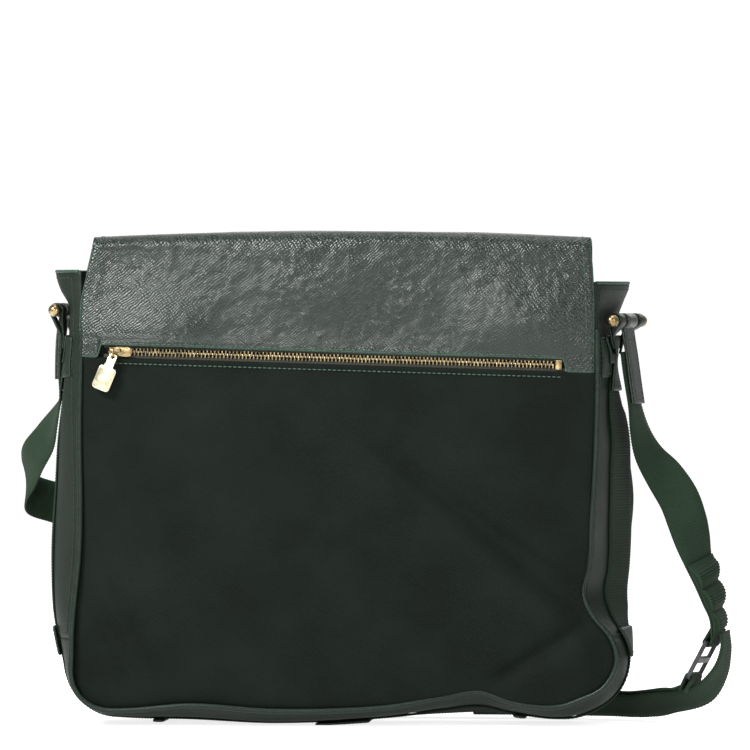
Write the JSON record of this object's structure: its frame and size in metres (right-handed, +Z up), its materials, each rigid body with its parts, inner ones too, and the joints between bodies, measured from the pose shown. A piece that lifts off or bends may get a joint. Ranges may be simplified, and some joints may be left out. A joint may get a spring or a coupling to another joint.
{
  "type": "messenger bag",
  "caption": "Messenger bag with a leather flap, a zipped rear pocket, leather gussets and a webbing shoulder strap.",
  "frame": {"origin": "on the floor below the middle of the bag's outer box, the loose strap left out", "axes": "+Z up; -Y out of the rear face, which has the zip; +Y out of the front, which has the flap; +X to the right of a person who looks at the rear face"},
  "size_m": [0.522, 0.1462, 0.3528],
  "materials": {
    "twill": "matte",
    "grained_leather": "satin",
    "smooth_leather": "satin",
    "piping_leather": "satin",
    "tab_leather": "satin",
    "webbing": "matte",
    "lining": "matte",
    "brass": "satin",
    "pale_brass": "satin",
    "dark_metal": "satin",
    "zip_tape": "matte",
    "board": "matte"
  },
  "bodies": {
    "shell": {"back_panel": "twill", "back_yoke": "grained_leather", "front_panel": "twill", "front_pocket": "twill", "front_pocket_trim": "smooth_leather", "zip_pocket_bag": "lining", "back_piping": "piping_leather", "front_piping": "piping_leather", "lining_back": "lining", "lining_front": "lining", "lining_gusset": "lining", "inner_pocket": "lining", "bottom_board": "board", "gusset_left": "smooth_leather", "gusset_right": "smooth_leather", "gusset_bottom": "smooth_leather", "side_webbing_left": "webbing", "side_webbing_right": "webbing", "bottom_webbing": "webbing", "bottom_keeper_left": "smooth_leather", "bottom_keeper_middle": "smooth_leather", "bottom_keeper_right": "smooth_leather", "corner_tab_left": "smooth_leather", "corner_tab_right": "smooth_leather", "anchor_patch_left": "smooth_leather", "anchor_patch_right": "smooth_leather", "bar_anchor_left": "smooth_leather", "bar_anchor_right": "smooth_leather", "bar_left": "brass", "bar_right": "brass", "ball_left_rear": "brass", "ball_left_front": "brass", "ball_right_rear": "brass", "ball_right_front": "brass", "snap_base_left": "brass", "snap_base_right": "brass", "zip_teeth_upper": "brass", "zip_teeth_lower": "brass", "zip_tape_upper": "zip_tape", "zip_tape_lower": "zip_tape", "zip_end_stop": "brass", "strap_short": "webbing", "strap_long": "webbing", "strap_tail": "webbing", "strap_buckle": "dark_metal"},
    "flap_top": {"flap_top": "grained_leather", "flap_top_lining": "lining"},
    "flap_front": {"flap_front": "grained_leather", "flap_front_lining": "lining", "snap_cap_left": "brass", "snap_cap_right": "brass"},
    "zip_slider": {"zip_slider": "brass"},
    "zip_bail": {"zip_bail": "brass"},
    "zip_puller": {"zip_puller": "pale_brass"},
    "strap_tab_left": {"strap_tab_left": "tab_leather"},
    "strap_tab_right": {"strap_tab_right": "tab_leather"}
  },
  "joints": [
    {"name": "flap_lift", "type": "hinge", "parent": "shell", "child": "flap_top", "pos_m": [0, -0.04455, 0.3514], "axis": [1, 0, 0], "range_deg": [0, 240]},
    {"name": "flap_fold", "type": "hinge", "parent": "flap_top", "child": "flap_front", "pos_m": [0, 0.05345, 0.3514], "axis": [1, 0, 0], "range_deg": [0, 90]},
    {"name": "zip_slide", "type": "slide", "parent": "shell", "child": "zip_slider", "axis": [0.9995, 0, -0.0305], "range_m": [0, 0.3]},
    {"name": "puller_turn", "type": "hinge", "parent": "zip_slider", "child": "zip_bail", "pos_m": [-0.16438, -0.0512, 0.2718], "axis": [0, -1, 0], "range_deg": [-30, 40]},
    {"name": "puller_lift", "type": "hinge", "parent": "zip_bail", "child": "zip_puller", "pos_m": [-0.16445, -0.0512, 0.26965], "axis": [-0.9995, 0, 0.0305], "range_deg": [0, 100]},
    {"name": "strap_tab_right_swing", "type": "hinge", "parent": "shell", "child": "strap_tab_right", "pos_m": [0.20401, -0.00055, 0.2924], "axis": [-0.2756, -0.9613, 0], "range_deg": [0, 140]},
    {"name": "strap_tab_left_swing", "type": "hinge", "parent": "shell", "child": "strap_tab_left", "pos_m": [-0.20539, -0.00055, 0.2999], "axis": [0.1045, 0.9945, 0], "range_deg": [0, 140]}
  ]
}
